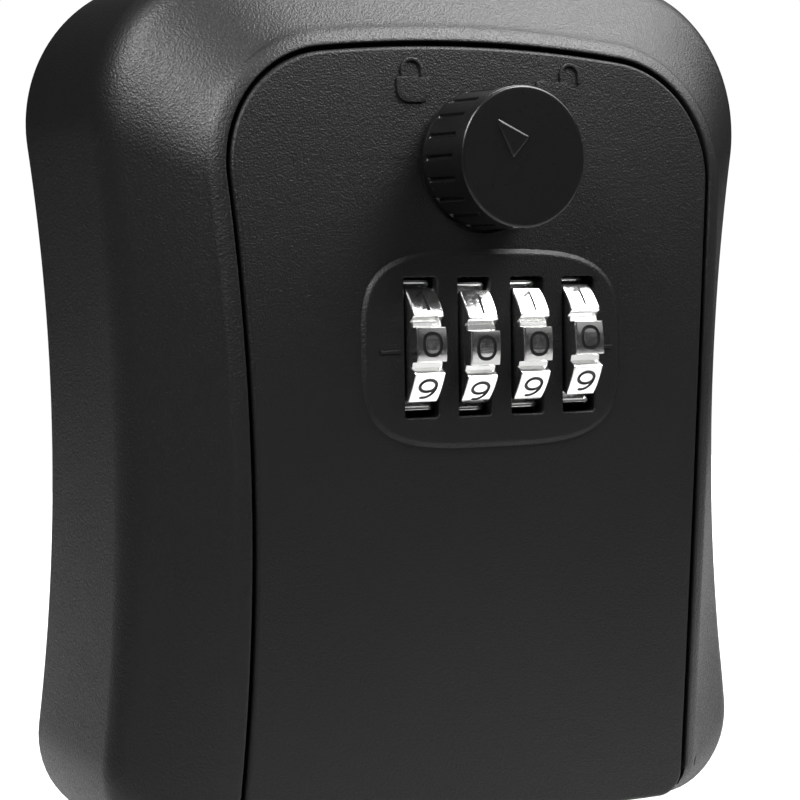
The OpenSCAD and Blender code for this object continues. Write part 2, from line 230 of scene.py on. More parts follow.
def bridge(n, k):
    """Quads between ring k and ring k + 1 of n points."""
    return [(k * n + i, k * n + (i + 1) % n, (k + 1) * n + (i + 1) % n, (k + 1) * n + i) for i in range(n)]


def strip_cap(o, n):
    """Cap of a ring that is its own mirror image about x = 0: strips across x."""
    half_n = (n + 1) // 2
    lf = [0] + [n - i for i in range(1, half_n)]
    faces = []
    for i in range(half_n - 1):
        a, b, c, d = o + i, o + i + 1, o + lf[i + 1], o + lf[i]
        faces.append((a, b, c) if i == 0 else (a, b, c, d))
    return faces


def loft(name, rings, cap0="strip", cap1="strip", mats=(), wrap=False):
    n, m = len(rings[0]), len(rings)
    verts = np.concatenate([np.asarray(r, float) for r in rings])
    faces = []
    for k in range(m - 1):
        faces += bridge(n, k)
    if wrap:
        faces += [((m - 1) * n + i, (m - 1) * n + (i + 1) % n, (i + 1) % n, i) for i in range(n)]
    else:
        for cap, o in ((cap0, 0), (cap1, (m - 1) * n)):
            if cap == "strip":
                faces += strip_cap(o, n)
            elif cap == "ngon":
                faces.append(tuple(range(o, o + n)))
    return fix_normals(build(name, verts, faces, mats))


# outlines made of tangent arcs, the same rule as the CAD uses
def _half(zt, rt, w, zw, rs, rc, zb, rb, d, n):
    ct = np.array([0.0, zt - rt])
    cs = np.array([w + rs, zw])
    r1, r2 = rt - rc, rs + rc
    dd = np.linalg.norm(cs - ct)
    a = (r1 * r1 - r2 * r2 + dd * dd) / (2 * dd)
    h = math.sqrt(r1 * r1 - a * a)
    u = (cs - ct) / dd
    cc = ct + a * u + h * np.array([-u[1], u[0]])
    cb = np.array([w + rs - math.sqrt((rs + rb) ** 2 - (zb + rb - zw) ** 2), zb + rb])
    ang = lambda v: math.atan2(v[1], v[0])
    at, as_, ab = ang(cc - ct), ang(cs - cc), ang(cs - cb)

    def arc(c, r, a0, a1, k, end=False):
        t = np.linspace(a0, a1, k + 1)
        if not end:
            t = t[:-1]
        return np.c_[c[0] + r * np.cos(t), c[1] + r * np.sin(t)]

    return np.concatenate([
        arc(ct, rt + d, math.pi / 2, at, n[0]),
        arc(cc, rc + d, at, as_, n[1]),
        arc(cs, rs - d, math.pi + as_, math.pi + ab, n[2]),
        arc(cb, max(rb + d, 0.3), ab, -math.pi / 2, n[3], True)])


def _loop(h):
    m = h[1:][::-1].copy()
    m[:, 0] *= -1
    return np.concatenate([h, m])


FINE = (22, 34, 44, 16)


def door_line(d, zb=-57.42, rb=3.3, n=FINE):
    return _loop(_half(47.14, 199, 33.28, -24, 538, 15.14, zb, rb, d, n))


def body_line(d, n=FINE):
    return _loop(_half(60.6, 190, 46.15, -7.5, 298, 20.6, -60.6, 13.1, d, n))


def fy(z):
    z = np.asarray(z, float)
    return -42.5 + 354 - np.sqrt(354.0 ** 2 - (z + 1.6) ** 2)


def at_y(line, y):
    return np.c_[line[:, 0], np.full(len(line), float(y)), line[:, 1]]


def on_bow(line, s):
    return np.c_[line[:, 0], fy(line[:, 1]) + s, line[:, 1]]


def circle(x, z, r, n=64, a0=0.0):
    t = np.linspace(0, 2 * math.pi, n, endpoint=False) + a0
    return np.c_[x + r * np.cos(t), z + r * np.sin(t)]


def rrect(x0, x1, z0, z1, r, n=6):
    pts = []
    for cx, cz, a0 in ((x1 - r, z1 - r, 0), (x0 + r, z1 - r, 90), (x0 + r, z0 + r, 180), (x1 - r, z0 + r, 270)):
        for i in range(n + 1):
            a = rad(a0 + 90 * i / n)
            pts.append((cx + r * math.cos(a), cz + r * math.sin(a)))
    return np.array(pts)


def prism(name, line, y0, y1, mats=(), bevel=0.0):
    """Solid between y0 and y1 with an X-Z outline."""
    return loft(name, [at_y(line, y0), at_y(line, y1)], "ngon", "ngon", mats)


def ycyl(x, z, r, y0, y1, n=64, r1=None):
    return loft("c", [at_y(circle(x, z, r, n), y0), at_y(circle(x, z, r1 or r, n), y1)], "ngon", "ngon")


def xcyl(x0, x1, y, z, r, n=64):
    t = np.linspace(0, 2 * math.pi, n, endpoint=False)
    ring = lambda x: np.c_[np.full(n, x), y + r * np.cos(t), z + r * np.sin(t)]
    return loft("c", [ring(x0), ring(x1)], "ngon", "ngon")


def box(a, b):
    (x0, y0, z0), (x1, y1, z1) = a, b
    v = [(x0, y0, z0), (x1, y0, z0), (x1, y1, z0), (x0, y1, z0), (x0, y0, z1), (x1, y0, z1), (x1, y1, z1), (x0, y1, z1)]
    f = [(0, 3, 2, 1), (4, 5, 6, 7), (0, 1, 5, 4), (1, 2, 6, 5), (2, 3, 7, 6), (3, 0, 4, 7)]
    return fix_normals(build("b", v, f))


def join(objs):
    """One mesh out of several that don't touch each other."""
    bm = bmesh.new()
    for o in objs:
        bm.from_mesh(o.data)
    me = bpy.data.meshes.new("joined")
    bm.to_mesh(me)
    bm.free()
    for o in objs:
        bpy.data.objects.remove(o)
    o = bpy.data.objects.new("joined", me)
    bpy.context.scene.collection.objects.link(o)
    return o


def ribbon(path, w, hgt, s0=0.25, closed=False, surface=fy, flat_y=None):
    """Raised bead of width w and height hgt along an X-Z path on the door's bow, or on a flat at flat_y."""
    p = np.asarray(path, float)
    n = len(p)
    if closed:
        t = np.roll(p, -1, 0) - np.roll(p, 1, 0)
    else:
        t = np.gradient(p, axis=0)
    t /= np.linalg.norm(t, axis=1)[:, None]
    nr = np.c_[-t[:, 1], t[:, 0]]
    b = min(0.1, w * 0.25)
    prof = [(-w / 2, s0), (-w / 2, -hgt + b), (-w / 2 + b * 0.3, -hgt + b * 0.3), (-w / 2 + b, -hgt),
            (w / 2 - b, -hgt), (w / 2 - b * 0.3, -hgt + b * 0.3), (w / 2, -hgt + b), (w / 2, s0)]
    rings = []
    for q, m in zip(p, nr):
        ring = []
        for a, s in prof:
            x, z = q + m * a
            ring.append((x, (float(surface(z)) if flat_y is None else flat_y) + s, z))
        rings.append(np.array(ring))
    return loft("r", rings, "ngon", "ngon", wrap=closed)


# --------------------------------------------------------------------------
# materials
# --------------------------------------------------------------------------
def nodes_of(name):
    m = bpy.data.materials.new(name)
    m.use_nodes = True
    nt = m.node_tree
    b = nt.nodes["Principled BSDF"]
    tc = nt.nodes.new("ShaderNodeTexCoord")
    return m, nt, b, tc


def noise(nt, tc, scale, detail=2.0, rough=0.5, stretch=None):
    n = nt.nodes.new("ShaderNodeTexNoise")
    n.inputs["Scale"].default_value = scale
    n.inputs["Detail"].default_value = detail
    n.inputs["Roughness"].default_value = rough
    if stretch:
        mp = nt.nodes.new("ShaderNodeMapping")
        mp.inputs["Scale"].default_value = stretch
        nt.links.new(tc.outputs["Object"], mp.inputs["Vector"])
        nt.links.new(mp.outputs["Vector"], n.inputs["Vector"])
    else:
        nt.links.new(tc.outputs["Object"], n.inputs["Vector"])
    return n


def span(nt, src, lo, hi, a=0.3, b=0.7):
    r = nt.nodes.new("ShaderNodeMapRange")
    r.inputs["From Min"].default_value = a
    r.inputs["From Max"].default_value = b
    r.inputs["To Min"].default_value = lo
    r.inputs["To Max"].default_value = hi
    nt.links.new(src, r.inputs["Value"])
    return r.outputs["Result"]


def ramp(nt, src, c0, c1, a=0.3, b=0.7):
    r = nt.nodes.new("ShaderNodeValToRGB")
    r.color_ramp.elements[0].position = a
    r.color_ramp.elements[0].color = (*c0, 1)
    r.color_ramp.elements[1].position = b
    r.color_ramp.elements[1].color = (*c1, 1)
    nt.links.new(src, r.inputs["Fac"])
    return r.outputs["Color"]


def bump(nt, b, src, dist, strength=1.0, prev=None):
    k = nt.nodes.new("ShaderNodeBump")
    k.inputs["Distance"].default_value = dist
    k.inputs["Strength"].default_value = strength
    nt.links.new(src, k.inputs["Height"])
    if prev is not None:
        nt.links.new(prev, k.inputs["Normal"])
    nt.links.new(k.outputs["Normal"], b.inputs["Normal"])
    return k.outputs["Normal"]


def plastic(name, dark, light, rough=(0.5, 0.62), grain=0.00002, grain_scale=2300, spec=0.3):
    """Moulded plastic with a spark-eroded grain."""
    m, nt, b, tc = nodes_of(name)
    fine = noise(nt, tc, grain_scale, 2.0, 0.55)
    broad = noise(nt, tc, 38, 3.0, 0.5)
    mix = nt.nodes.new("ShaderNodeMath")
    mix.operation = "MULTIPLY_ADD"
    mix.inputs[1].default_value = 0.75
    nt.links.new(fine.outputs["Fac"], mix.inputs[0])
    sc = nt.nodes.new("ShaderNodeMath")
    sc.operation = "MULTIPLY"
    sc.inputs[1].default_value = 0.25
    nt.links.new(broad.outputs["Fac"], sc.inputs[0])
    nt.links.new(sc.outputs[0], mix.inputs[2])
    nt.links.new(ramp(nt, mix.outputs[0], dark, light, 0.32, 0.68), b.inputs["Base Color"])
    nt.links.new(span(nt, fine.outputs["Fac"], rough[1], rough[0]), b.inputs["Roughness"])
    # the grain hides the mirror at a grazing view
    lw = nt.nodes.new("ShaderNodeLayerWeight")
    lw.inputs["Blend"].default_value = 0.5
    fall = nt.nodes.new("ShaderNodeMapRange")
    fall.inputs["From Min"].default_value = 0.62
    fall.inputs["From Max"].default_value = 0.98
    fall.inputs["To Min"].default_value = spec
    fall.inputs["To Max"].default_value = 0.0
    nt.links.new(lw.outputs["Facing"], fall.inputs["Value"])
    nt.links.new(fall.outputs["Result"], b.inputs["Specular IOR Level"])
    n1 = bump(nt, b, fine.outputs["Fac"], grain)
    mid = noise(nt, tc, grain_scale * 0.5, 1.0, 0.4)
    bump(nt, b, mid.outputs["Fac"], grain * 0.35, 1.0, n1)
    return m


def metal(name, c0, c1, rough=(0.15, 0.3), scale=900, dist=0.000004, stretch=None):
    m, nt, b, tc = nodes_of(name)
    b.inputs["Metallic"].default_value = 1.0
    a = noise(nt, tc, scale, 3.0, 0.55, stretch)
    w = noise(nt, tc, scale * 0.12, 2.0, 0.5)
    nt.links.new(ramp(nt, w.outputs["Fac"], c0, c1, 0.35, 0.65), b.inputs["Base Color"])
    nt.links.new(span(nt, a.outputs["Fac"], rough[0], rough[1]), b.inputs["Roughness"])
    bump(nt, b, a.outputs["Fac"], dist)
    return m


MAT = {}


def make_materials():
    MAT["housing"] = plastic("housing_plastic", (0.0030, 0.0030, 0.0032), (0.0062, 0.0062, 0.0065), (0.34, 0.52), 0.000070, 3600, 0.34)
    MAT["door"] = plastic("door_plastic", (0.0030, 0.0030, 0.0032), (0.0064, 0.0064, 0.0067), (0.34, 0.54), 0.000085, 4000, 0.25)
    MAT["inner"] = plastic("inner_plastic", (0.030, 0.031, 0.034), (0.042, 0.043, 0.047), (0.42, 0.5), 0.000008, 1400, 0.4)
    MAT["knob"] = plastic("knob_plastic", (0.0030, 0.0030, 0.0032), (0.0048, 0.0048, 0.0050), (0.27, 0.34), 0.000006, 1500, 0.4)
    MAT["lever"] = plastic("lever_plastic", (0.60, 0.60, 0.58), (0.70, 0.70, 0.68), (0.4, 0.5), 0.000006, 1200, 0.5)
    MAT["dial"] = metal("dial_metal", (0.80, 0.80, 0.79), (0.90, 0.90, 0.89), (0.13, 0.24), 1600, 0.000004)
    MAT["steel"] = metal("steel", (0.55, 0.56, 0.57), (0.68, 0.69, 0.70), (0.25, 0.4), 1500, 0.000004)
    MAT["spring"] = metal("spring_steel", (0.50, 0.51, 0.53), (0.62, 0.63, 0.65), (0.22, 0.34), 2500, 0.000003, (1, 1, 6))
    MAT["zinc"] = metal("zinc_plate", (0.50, 0.51, 0.52), (0.64, 0.65, 0.66), (0.32, 0.5), 700, 0.000005, (6, 1, 1))
    MAT["frame"] = metal("dark_phosphate", (0.055, 0.055, 0.058), (0.085, 0.085, 0.088), (0.42, 0.6), 800, 0.000005)
    MAT["brass"] = metal("brass", (0.62, 0.46, 0.20), (0.78, 0.60, 0.30), (0.22, 0.36), 1200, 0.000004)
    m, nt, b, tc = nodes_of("ink_black")
    n = noise(nt, tc, 2600, 2.0)
    nt.links.new(ramp(nt, n.outputs["Fac"], (0.004, 0.004, 0.004), (0.012, 0.012, 0.012)), b.inputs["Base Color"])
    nt.links.new(span(nt, n.outputs["Fac"], 0.35, 0.55), b.inputs["Roughness"])
    MAT["ink"] = m


CAD_FINISH = {
    "key_hook": "steel", "hinge_pins": "steel", "mechanism_cover": "inner", "cover_screws": "steel",
    "dial_frame": "frame", "frame_screws": "steel", "detent_comb": "spring", "comb_screws": "steel",
    "code_disc_1": "brass", "code_disc_2": "brass", "code_disc_3": "brass", "code_disc_4": "brass",
    "dial_shaft": "steel", "shaft_clip": "spring", "reset_lever": "lever", "latch_plate": "zinc",
    "knob_spindle": "steel", "latch_crank": "brass", "spindle_clip": "spring",
    "rear_housing": "housing", "door_panel": "door", "knob": "knob",
    "dial_wheel_1": "dial", "dial_wheel_2": "dial", "dial_wheel_3": "dial", "dial_wheel_4": "dial",
    "latch_spring": "spring", "reset_spring": "spring",
}


def dress_cad():
    for n, key in CAD_FINISH.items():
        o = NODES[n]
        if len(o.material_slots) == 0:
            o.data.materials.append(MAT[key])
        for s in o.material_slots:
            s.material = MAT[key]


# --------------------------------------------------------------------------
# housing
# --------------------------------------------------------------------------
HINGE_Y, HINGE_Z = -35.9, -53.0


def make_housing():
    rings = []
    for d, y in ((-0.8, 0.0), (-0.42, -0.07), (-0.16, -0.26), (-0.03, -0.55), (0.0, -0.9)):
        rings.append(at_y(body_line(d), y))
    for y in (-4, -8, -12, -16, -20):
        rings.append(at_y(body_line(0.25 * (1 - ((y + 13.6) / 13.6) ** 2)), y))
    a4 = at_y(body_line(-3), -31.6)
    lip = on_bow(door_line(2.9, -53.5, 0.6), 1.4)
    run = np.linalg.norm((lip - a4)[:, [0, 2]], axis=1)
    slope = (a4[:, 1] - lip[:, 1]) / run
    yc = np.clip(-31.6 + 3 * slope, -29.8, -26.6)
    c0 = body_line(0.0)
    C = np.c_[c0[:, 0], yc, c0[:, 1]]
    s0 = body_line(0.12)
    S = np.c_[s0[:, 0], yc + 3.4, s0[:, 1]]
    dirn = lip - C
    ln = np.linalg.norm(dirn, axis=1)[:, None]
    E = C + dirn * np.minimum(3.8 / ln, 0.45)
    for t in np.linspace(0, 1, 11):
        rings.append((1 - t) ** 2 * S + 2 * t * (1 - t) * C + t * t * E)
    for t in (0.25, 0.5, 0.75):
        rings.append(E + (lip - E) * t)
    rings.append(E + (lip - E) * 0.93)
    for d, s in ((2.86, 1.30), (2.74, 1.12), (2.5, 0.92), (2.1, 0.66), (1.6, 0.42), (1.15, 0.23), (0.95, 0.16),
                 (0.78, 0.15), (0.66, 0.21), (0.58, 0.34), (0.55, 0.55)):
        rings.append(on_bow(door_line(d, -53.5, 0.6), s))
    rings.append(at_y(door_line(0.55, -53.5, 0.6), -36.03))
    o = loft("housing_shell", rings, "strip", "strip", [MAT["housing"]])

    # key space
    inner = [at_y(body_line(-3.6), -3.0), at_y(body_line(-3.2), -3.15), at_y(body_line(-3.0), -3.6),
             at_y(body_line(-3.0), -15), at_y(body_line(-3.0), -26.5), at_y(door_line(-2), -32.7),
             at_y(door_line(-2), -38.5)]
    boolean(o, loft("c", inner))
    boolean(o, loft("c", [at_y(door_line(0.53), -36.0), at_y(door_line(0.53), -50)]))
    boolean(o, xcyl(-34.4, 34.4, HINGE_Y, HINGE_Z, 5.7, 96))
    boolean(o, join([xcyl(34.2, 37.6, HINGE_Y, HINGE_Z, 1.25, 48), xcyl(-37.6, -34.2, HINGE_Y, HINGE_Z, 1.25, 48)]))
    boolean(o, box((-8.8, -37.7, 43.5), (8.8, -27.7, 47.4)))
    holes = []
    for sx in (-1, 1):
        for sz in (-1, 1):
            x, z = sx * 25, -3 + sz * 35
            rr = [at_y(circle(x, z, 2.9), 1), at_y(circle(x, z, 2.9), 0.0), at_y(circle(x, z, 2.5), -0.4),
                  at_y(circle(x, z, 2.5), -2.2), at_y(circle(x, z, 4.0), -3.0), at_y(circle(x, z, 4.6), -4.5)]
            holes.append(loft("c", rr, "ngon", "ngon"))
    holes.append(ycyl(0, 38, 1.6, 1, -8))
    boolean(o, join(holes))
    tidy(o)
    smooth(o, 30)
    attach(o, "housing")
    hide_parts("rear_housing")
    return o


# --------------------------------------------------------------------------
# door
# --------------------------------------------------------------------------
SHIFT = -1.7
DIAL_X = [1.86 + (i - 1.5) * 8 for i in range(4)]
DIAL_Y, DIAL_Z = -36.1, 7.64
WIN_W, WIN_H = 4.88, 18.26
PAD = 0.5


def superellipse(cx, cz, a, b, e, d=0.0, n=160):
    t = np.linspace(0, 2 * math.pi, n, endpoint=False)
    c, s = np.cos(t), np.sin(t)
    x = a * np.sign(c) * np.abs(c) ** (2 / e)
    z = b * np.sign(s) * np.abs(s) ** (2 / e)
    p = np.c_[x, z]
    tg = np.roll(p, -1, 0) - np.roll(p, 1, 0)
    tg /= np.linalg.norm(tg, axis=1)[:, None]
    nr = np.c_[tg[:, 1], -tg[:, 0]]
    p = p + nr * d
    return p + np.array([cx, cz])


def fan_cap_loft(name, rings, centre):
    """Loft with both ends closed by flat n-gons."""
    return loft(name, rings, "ngon", "ngon")


def on_bow_grid_cap(line, s, cx, cz, steps=8):
    """Rings that shrink to the centre, so that a raised pad follows the bow."""
    out = []
    for t in np.linspace(1, 0.02, steps):
        l = (line - [cx, cz]) * t + [cx, cz]
        out.append(on_bow(l, s))
    return out


def raised(name, lines_s, cx, cz, steps=8, s_back=0.8):
    rings = [on_bow(lines_s[0][0], s_back)]
    rings += [on_bow(l, s) for l, s in lines_s]
    rings += on_bow_grid_cap(lines_s[-1][0], lines_s[-1][1], cx, cz, steps)[1:]
    return loft(name, rings, "ngon", "ngon")


def make_door():
    r = 0.55
    rings = [at_y(door_line(-0.15), -36.2), at_y(door_line(0.0), -36.35)]
    rings.append(on_bow(door_line(0.0), r + 0.25))
    for k in range(0, 7):
        a = rad(90 * k / 6)
        rings.append(on_bow(door_line(-r * (1 - math.cos(a))), r * (1 - math.sin(a))))
    rings.append(on_bow(door_line(-1.6), 0.0))
    o = loft("door_shell", rings, "strip", "strip", [MAT["door"]])
    # hollow inside
    pan = [at_y(door_line(-2), -30), on_bow(door_line(-2), 2.9), on_bow(door_line(-2.2), 2.4), on_bow(door_line(-2.7), 2.2)]
    boolean(o, loft("c", pan))

    # inside features, then one union each
    q = SHIFT
    parts = []
    for m in (-1, 1):
        x0, x1 = (27.2, 33.2) if m > 0 else (-33.2, -27.2)
        parts.append(xcyl(x0, x1, HINGE_Y, HINGE_Z, 2.4, 48))
        parts.append(box((x0 + 0.01, -36.4 + q, HINGE_Z - 2.39), (x1 - 0.01, HINGE_Y, HINGE_Z + 2.39)))
    parts.append(ycyl(0, 32.2, 6, -33.2 + q, -41.3, 72))
    for x, z in ((-14.2, 36.9), (16.6, 36.9), (-21.8, -10.3), (24.8, -10.3)):
        parts.append(ycyl(x, z, 2.8, -22.9 + q, -41.2 if z < 0 else -39.2, 48))
    for x in (-18.9, 24.7):
        parts.append(ycyl(x, 16, 2.8, -34.4 + q, -41.4, 48))
    parts.append(box((-12, -40.6, 25.2), (-8.4, -30.8 + q, 34)))
    parts.append(box((-12.02, -40.6, 25.18), (-9.3, -28.6 + q, 34.02)))
    parts.append(box((18.8, -40.6, 25.2), (22, -30.8 + q, 34)))
    parts.append(box((19.7, -40.6, 25.18), (22.02, -28.6 + q, 34.02)))
    parts.append(box((8.6, -40.9, 19.6), (13.9, -30.9 + q, 21.4)))
    # stiffening ribs across the lower half of the pan
    for z in (-24, -35, -46):
        y = float(fy(z)) + 1.2
        w = {-24: 31.9, -35: 32.1, -46: 32.7}[z]
        parts.append(box((-w, y, z - 0.6), (w, y + 2.6, z + 0.6)))
    for x in (-16, 0, 16):
        zs = np.linspace(-18, -54, 25)
        ring = lambda z: np.array([(x - 0.6, fy(z) + 1.2, z), (x + 0.6, fy(z) + 1.2, z), (x + 0.6, fy(z) + 3.6, z), (x - 0.6, fy(z) + 3.6, z)])
        parts.append(loft("c", [ring(z) for z in zs], "ngon", "ngon"))
    for p in parts:
        boolean(o, p, "UNION")

    # raised pad round the windows
    cx, cz, a, b, e = 0.95, 7.35, 19.7, 13.05, 3.6
    se = lambda d: superellipse(cx, cz, a, b, e, d)
    prof = [(0.12, 0.02), (0.0, -0.04), (-0.16, -0.16), (-0.38, -0.36), (-0.52, -0.45), (-0.68, -PAD + 0.005), (-0.85, -PAD)]
    boolean(o, raised("pad", [(se(d), s) for d, s in prof], cx, cz, 10), "UNION")

    # closed padlock sign, raised
    def sign(x_body, z_body, shackle):
        w, h = 4.9, 3.3
        out = []
        body = lambda d: np.concatenate([
            rrect(x_body - w / 2 - d, x_body + w / 2 + d, z_body - h / 2 - d, z_body + h / 2 + d, 0.35 + max(d, -0.3))[:14],
            rrect(x_body - w / 2 - d, x_body + w / 2 + d, z_body - h / 2 - d, z_body + h / 2 + d, 1.45 + d)[14:]])
        lines = [(body(0.0), 0.0), (body(0.0), -0.22), (body(-0.03), -0.28), (body(-0.1), -0.3)]
        out.append(raised("sign", lines, x_body, z_body, 4, 0.5))
        out.append(ribbon(shackle, 0.5, 0.3, 0.5))
        return out

    t = np.linspace(math.pi, 0, 25)
    arch = np.c_[-9.85 + 1.45 * np.cos(t), 43.75 + 1.45 * np.sin(t)]
    arch = np.concatenate([[(-11.3, 42.3), (-11.3, 42.9)], arch, [(-8.4, 42.9), (-8.4, 42.3)]])
    for p in sign(-9.8, 41.2, arch):
        boolean(o, p, "UNION")
    arch = np.c_[14.3 + 1.4 * np.cos(t), 43.85 + 1.4 * np.sin(t)]
    arch = np.concatenate([[(12.9, 42.3), (12.9, 42.9)], arch, [(15.7, 43.3), (15.7, 42.75)]])
    for p in sign(11.3, 41.2, arch):
        boolean(o, p, "UNION")

    # index ticks on the pad, level with the middle of the row
    s_pad = lambda z: fy(z) - PAD
    boolean(o, ribbon([(-16.3, 7.2), (-14.9, 7.2), (-13.5, 7.2)], 0.45, 0.22, 0.3, surface=s_pad), "UNION")
    boolean(o, ribbon([(17.0, 7.2), (18.0, 7.2), (19.0, 7.2)], 0.45, 0.22, 0.3, surface=s_pad), "UNION")

    # windows with a softened front edge
    for x in DIAL_X:
        x0, x1, z0, z1 = x - WIN_W / 2, x + WIN_W / 2, DIAL_Z - WIN_H / 2, DIAL_Z + WIN_H / 2
        L = lambda d: rrect(x0 - d, x1 + d, z0 - d, z1 + d, 0.35 + d, 5)
        rr = [at_y(L(0), -34), on_bow(L(0), -PAD + 0.22), on_bow(L(0.04), -PAD + 0.1), on_bow(L(0.11), -PAD + 0.03),
              on_bow(L(0.2), -PAD - 0.01), on_bow(L(0.35), -PAD - 0.6)]
        boolean(o, loft("c", rr, "ngon", "ngon"))
        boolean(o, box((x0 + 0.01, -39.4 + q, z0 - 0.7), (x1 - 0.01, -34, z1 + 0.7)))
    for x in DIAL_X:
        boolean(o, xcyl(x + 2.2, x + 5.75, DIAL_Y, DIAL_Z, 5.4, 96))
    boolean(o, ycyl(0, 32.2, 4, -30, -46, 72))
    # flat seat for the knob
    boolean(o, ycyl(0, 32.2, 9.7, float(fy(32.2)), -50, 120))
    bores = [ycyl(x, z, 1.25, -21 + q, -32.9 + q, 32) for x, z in ((-14.2, 36.9), (16.6, 36.9), (-21.8, -10.3), (24.8, -10.3))]
    bores += [ycyl(x, 16, 1.25, -33 + q, -38 + q, 32) for x in (-18.9, 24.7)]
    bores += [xcyl(27, 34.6, HINGE_Y, HINGE_Z, 1.22, 32), xcyl(-34.6, -27, HINGE_Y, HINGE_Z, 1.22, 32)]
    boolean(o, join(bores))
    tidy(o)
    smooth(o, 30)
    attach(o, "door")
    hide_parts("door_panel")
    return o


# --------------------------------------------------------------------------
# knob
# --------------------------------------------------------------------------
KNOB_Z = 32.2


def make_knob():
    face = float(fy(KNOB_Z)) - 10.95 + 0.05
    foot = float(fy(KNOB_Z)) - 0.3
    count, per = 20, 24
    n = count * per
    th = np.linspace(0, 2 * math.pi, n, endpoint=False)
    # groove shape across: round channel about 0.62 mm wide
    local = ((np.arange(n) % per) / per)
    local = np.minimum(local, 1 - local) * (2 * math.pi / count)  # angle from the groove's middle
    half_w = 0.36
    arc_len = local * 9.15
    g = np.sqrt(np.clip(1 - (arc_len / half_w) ** 2, 0, 1))
    y_a, y_b = foot - 1.0, face + 2.3  # groove from foot end to front end
    rows = []

    def row(r, y, depth=0.0):
        rr = r - depth * g
        rows.append(np.c_[rr * np.cos(th), np.full(n, y), KNOB_Z + rr * np.sin(th)])

    def rad_at(y):  # slight draft from foot to face
        t = (foot - 1.3 - y) / (foot - 1.3 - face)
        return 9.2 + (9.13 - 9.2) * np.clip(t, 0, 1)

    row(3.0, foot - 7)
    row(3.0, foot)
    row(9.05, foot)
    row(9.2, foot - 0.06)
    row(9.25, foot - 0.2)
    row(9.25, foot - 0.7)
    row(9.23, foot - 0.82)
    row(rad_at(y_a), y_a + 0.08)
    dmax = 0.36
    for t in (0.0, 0.12, 0.3, 0.5, 0.75, 1.0):  # rounded foot end
        row(rad_at(y_a - 0.36 * t), y_a - 0.36 * t, dmax * math.sqrt(1 - (1 - t) ** 2))
    for t in np.linspace(0.1, 0.9, 8):
        y = y_a - 0.36 + (y_b + 0.95 - (y_a - 0.36)) * t
        row(rad_at(y), y, dmax)
    for t in (1.0, 0.86, 0.72, 0.58, 0.44, 0.3, 0.16, 0.0):  # runs out toward the face
        y = y_b + 0.95 * t
        row(rad_at(y), y, dmax * 0.5 * (1 - math.cos(math.pi * t)))
    row(rad_at(y_b - 0.3), y_b - 0.3)
    rim = 0.42
    for k in range(0, 8):
        a = rad(90 * k / 7)
        row(9.13 - rim * (1 - math.cos(a)), face + rim * (1 - math.sin(a)))
    row(8.3, face)
    row(6.0, face)
    row(3.0, face)
    rings = rows
    verts = np.concatenate(rings)
    faces = []
    for k in range(len(rings) - 1):
        faces += bridge(n, k)
    c0, c1 = len(verts), len(verts) + 1
    verts = np.concatenate([verts, [[0, foot - 7, KNOB_Z]], [[0, face, KNOB_Z]]])
    last = (len(rings) - 1) * n
    for i in range(n):
        j = (i + 1) % n
        faces.append((i, j, c0))
        faces.append((last + i, last + j, c1))
    o = fix_normals(build("knob_grip", verts, faces, [MAT["knob"]]))
    # raised triangle that points to the closed sign
    A, B, C = np.array([-4.2, 37.0]), np.array([0.75, 34.75]), np.array([-1.6, 32.1])
    cen = (A + B + C) / 3

    def tri(d, m=5):
        """Triangle with rounded corners, its sides moved in by d."""
        P = [A, B, C]
        pts = []
        rr = 0.22
        for k in range(3):
            p, pv, nx = P[k], P[k - 1], P[(k + 1) % 3]
            u1, u2 = (pv - p) / np.linalg.norm(pv - p), (nx - p) / np.linalg.norm(nx - p)
            half_a = math.acos(np.clip(u1 @ u2, -1, 1)) / 2
            bis = (u1 + u2) / np.linalg.norm(u1 + u2)
            c = p + bis * ((rr + d) / math.sin(half_a))
            n1 = p + u1 * ((rr + d) / math.tan(half_a)) - c
            n2 = p + u2 * ((rr + d) / math.tan(half_a)) - c
            a1, a2 = math.atan2(n1[1], n1[0]), math.atan2(n2[1], n2[0])
            da = (a2 - a1 + math.pi) % (2 * math.pi) - math.pi
            for i in range(m + 1):
                a = a1 + da * i / m
                pts.append(c + rr * np.array([math.cos(a), math.sin(a)]))
        return np.array(pts)

    rr = [at_y(tri(-0.06), face + 0.4), at_y(tri(-0.06), face - 0.03), at_y(tri(0.08), face - 0.17), at_y(tri(0.2), face - 0.24), at_y(tri(0.3), face - 0.25)]
    boolean(o, loft("c", rr, "ngon", "ngon"), "UNION")
    tidy(o)
    smooth(o, 34)
    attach(o, "knob_body")
    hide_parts("knob")
    return o


# --------------------------------------------------------------------------
# dials
# --------------------------------------------------------------------------
def arc_pts(cx, cy, rx, ry, a0, a1, n=14):
    return [(cx + rx * math.cos(rad(a0 + (a1 - a0) * i / n)), cy + ry * math.sin(rad(a0 + (a1 - a0) * i / n))) for i in range(n + 1)]


